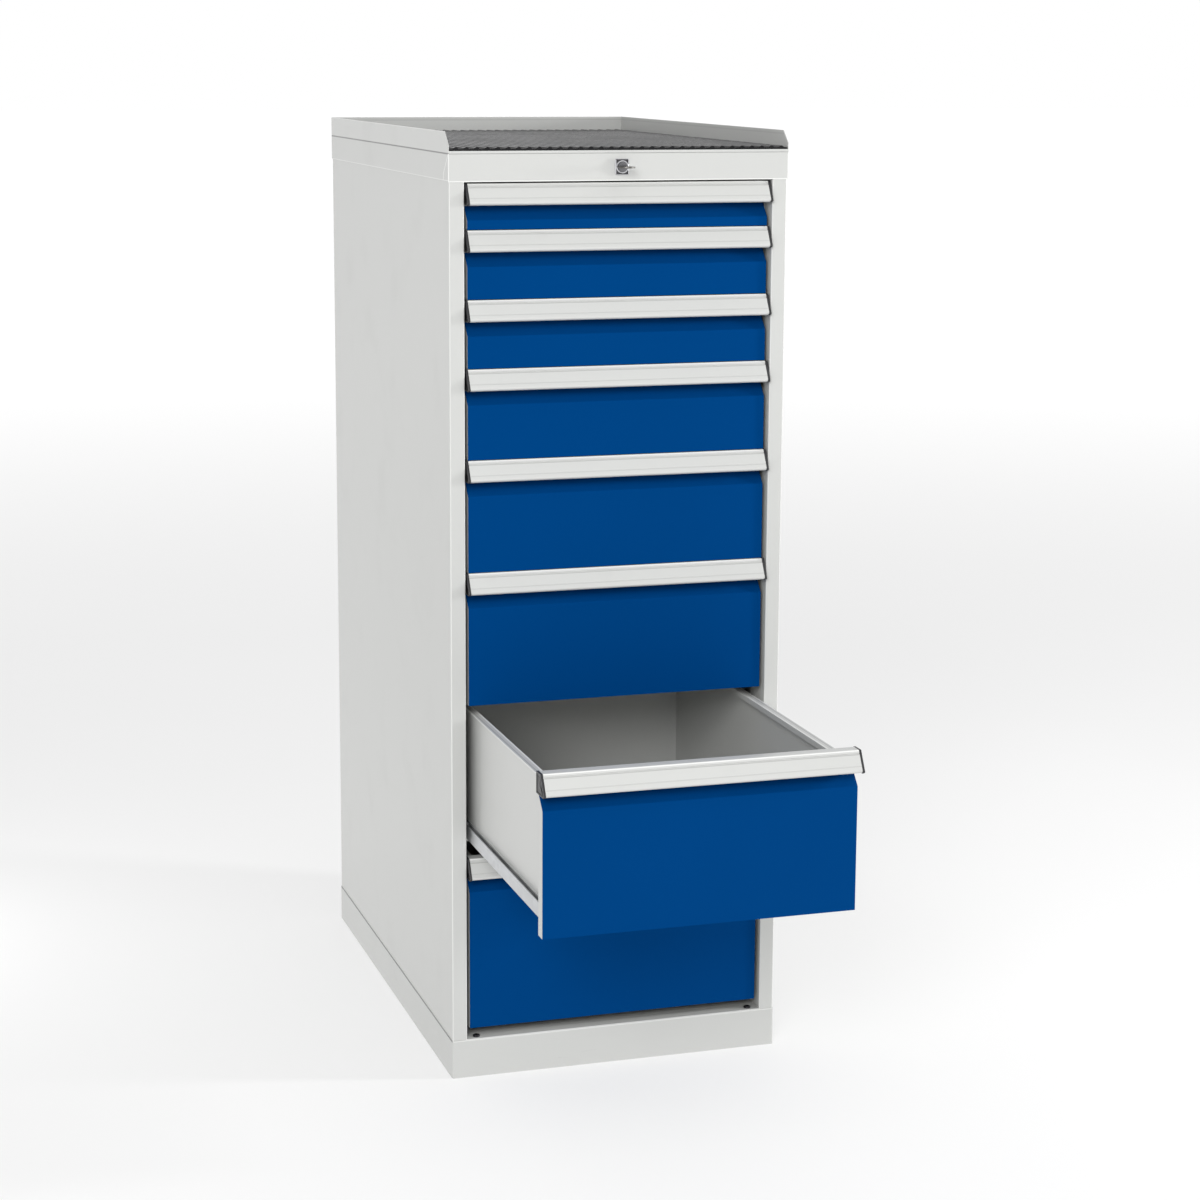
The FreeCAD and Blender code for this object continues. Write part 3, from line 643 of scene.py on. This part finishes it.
def add_floor_screw(bm, middle, top, radius):
    """Domed screw with a hexagon socket, whose head ends at the given height."""
    head = 0.003
    dome = 0.0018
    shank_radius = 0.003
    shank = 0.014
    shank_top = top - head + 0.0002
    socket_border = 0.0010
    socket_half_width = 0.0020
    socket_depth = 0.0018
    disc = add_cylinder(bm, radius, 24, middle, top - head, top)
    bm.normal_update()
    crown = max(level_faces(bm, disc), key=lambda face: face.normal.z)
    bmesh.ops.bevel(bm, geom=crown.edges[:], offset=dome, segments=4, profile=0.5, affect="EDGES",
                    material=-1)
    over_middle = [face for face in bm.faces if (face.calc_center_median().xy - middle).length < 0.0005]
    crown = max(over_middle, key=lambda face: face.calc_center_median().z)
    bmesh.ops.inset_region(bm, faces=[crown], thickness=socket_border)
    for vert in crown.verts:
        offset = vert.co.xy - middle
        turn = (math.atan2(offset.y, offset.x) + math.radians(30)) % math.radians(60) - math.radians(30)
        vert.co.xy = middle + offset.normalized() * socket_half_width / math.cos(turn)
    bmesh.ops.inset_region(bm, faces=[crown], thickness=0.0001, depth=-socket_depth)
    add_cylinder(bm, shank_radius, 16, middle, shank_top - shank, shank_top)


def make_floor_screws():
    """The four screws that hold the body on the plinth."""
    radius = 0.00525
    low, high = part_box("plinth_screws")
    bm = bmesh.new()
    for x in (low.x + radius, high.x - radius):
        for y in (low.y + radius, high.y - radius):
            add_floor_screw(bm, Vector((x, y)), high.z, radius)
    piece = finished(bm, "floor_screws", black_screw, "cabinet")
    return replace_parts(piece, "plinth_screws")


make_mat()
make_lock_collar()
make_key()
make_floor_screws()
for number in drawers:
    make_end_caps(number)


# Carried-over nodes

finishes = {
    "left_side": body_paint,
    "right_side": body_paint,
    "back_panel": body_paint,
    "floor_panel": body_paint,
    "plinth": plinth_paint,
    "plinth_screws": black_screw,
    "top_cap": cap_paint,
    "top_tray": tray_paint,
    "mat": rubber,
    "rear_uprights": zinc_sheet,
    "slide_channels": zinc_sheet,
    "slide_glides": nylon,
    "lock_housing": lock_chrome,
    "lock_nut": zinc_sheet,
    "lock_cylinder": plug_metal,
    "key": key_nickel,
    "lock_rod": zinc_bar,
    "rod_bracket": zinc_sheet,
    "locking_bar": zinc_bar,
    "bar_guides": nylon,
}
for number in drawers:
    finishes["drawer_%d_box" % number] = drawer_paint("drawer_grey_%d" % number, number)
    finishes["drawer_%d_front" % number] = blue_paint
    finishes["drawer_%d_handle" % number] = grip_paint("grip_paint_%d" % number, number)
    finishes["drawer_%d_end_caps" % number] = end_plastic
    finishes["drawer_%d_rails" % number] = zinc_sheet
for node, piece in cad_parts.items():
    piece.data.materials.clear()
    piece.data.materials.append(finishes[node].material)


# Studio

def make_floor():
    """Pale studio floor that brightens into the white room far from the cabinet."""
    black = (0.0, 0.0, 0.0)
    white = (1.0, 1.0, 1.0)
    finish = Finish("studio_floor", Specular_IOR_Level=0.1, Emission_Strength=1.0)
    cloud = finish.grain(0.8, 2.0)
    flat = finish.add("ShaderNodeCombineXYZ", {}, {0: finish.x, 1: finish.y})[0]
    away = finish.add("ShaderNodeVectorMath", {"operation": "LENGTH"}, {0: flat})[1]
    far = finish.ramp(away, 1.2, 9.0)
    tint = finish.blend(cloud, shade(white, 0.44), shade(white, 0.47))
    tint = finish.blend(far, tint, shade(black))
    glow = finish.blend(far, shade(white, 0.46), shade(white))
    finish.set(tint, 0.75 + cloud * 0.1, finish.grain(300.0) * 0.00002, glow)
    bm = bmesh.new()
    bmesh.ops.create_grid(bm, x_segments=8, y_segments=8, size=60.0)
    mesh = bpy.data.meshes.new("studio_floor")
    bm.to_mesh(mesh)
    bm.free()
    floor = bpy.data.objects.new("studio_floor", mesh)
    mesh.materials.append(finish.material)
    bpy.context.scene.collection.objects.link(floor)


def make_light(name, azimuth, elevation, distance, width, height, power, target):
    """Soft box that faces its target; azimuth 0 is in front, 90 to the right."""
    light = bpy.data.lights.new(name, "AREA")
    light.shape = "RECTANGLE"
    light.size = width
    light.size_y = height
    light.energy = power
    lamp = bpy.data.objects.new(name, light)
    around = math.radians(azimuth)
    above = math.radians(elevation)
    level = math.cos(above)
    out = Vector((math.sin(around) * level, -math.cos(around) * level, math.sin(above)))
    lamp.rotation_euler = (-out).to_track_quat("-Z", "Y").to_euler()
    lamp.location = Vector(target) + out * distance
    lamp.visible_camera = False
    bpy.context.scene.collection.objects.link(lamp)


def make_world(level, left, right):
    """White room, whose light falls to a level above the horizon and by a share towards each side."""
    world = bpy.data.worlds.new("studio")
    world.use_nodes = True
    room = Graph(world.node_tree, 0)
    to_left = 1.0 - room.ramp(room.x, -0.3, -0.95) * (1.0 - left)
    to_right = 1.0 - room.ramp(room.x, 0.3, 0.95) * (1.0 - right)
    strength = 1.0 - room.ramp(room.z, 0.15, 0.24) * (1.0 - to_left * to_right * level)
    background = room.tree.nodes["Background"]
    background.inputs["Color"].default_value = (1.0, 1.0, 1.0, 1.0)
    room.tree.links.new(strength.socket, background.inputs["Strength"])
    bpy.context.scene.world = world


def make_camera():
    """Camera at the photograph's place, looking slightly down; its lens is given in pixels of the picture."""
    yaw = math.radians(17.415)
    pitch = math.radians(10.445)
    roll = math.radians(0.309)
    place = (-1.172, -4.036, 1.488)
    lens_pixels = 2700.0
    picture_pixels = 1200.0
    ahead = Vector((math.sin(yaw) * math.cos(pitch), math.cos(yaw) * math.cos(pitch), -math.sin(pitch)))
    right = Vector((math.cos(yaw), -math.sin(yaw), 0.0))
    up = right.cross(ahead)
    side = right * math.cos(roll) + up * math.sin(roll)
    top = up * math.cos(roll) - right * math.sin(roll)
    data = bpy.data.cameras.new("camera")
    data.sensor_width = 36.0
    data.lens = data.sensor_width * lens_pixels / picture_pixels
    data.shift_y = -0.045
    data.clip_end = 200.0
    camera = bpy.data.objects.new("camera", data)
    turn = Matrix((side, top, -ahead)).transposed().to_4x4()
    camera.matrix_world = Matrix.Translation(place) @ turn
    bpy.context.scene.collection.objects.link(camera)
    bpy.context.scene.camera = camera


make_floor()
make_world(level=0.76, left=0.42, right=0.70)
make_light("key", azimuth=73.0, elevation=10.0, distance=3.6, width=0.35, height=0.55, power=68.0,
           target=(0, -0.3, 0.9))
make_light("fill", azimuth=-31.0, elevation=26.0, distance=5.0, width=1.7, height=1.7, power=132.0,
           target=(0.1, -0.6, 0.5))
make_light("low", azimuth=-108.0, elevation=2.0, distance=1.15, width=0.5, height=0.3, power=2.8,
           target=(-0.25, 0.15, 0.24))
make_camera()
bpy.context.scene.view_settings.view_transform = "Standard"
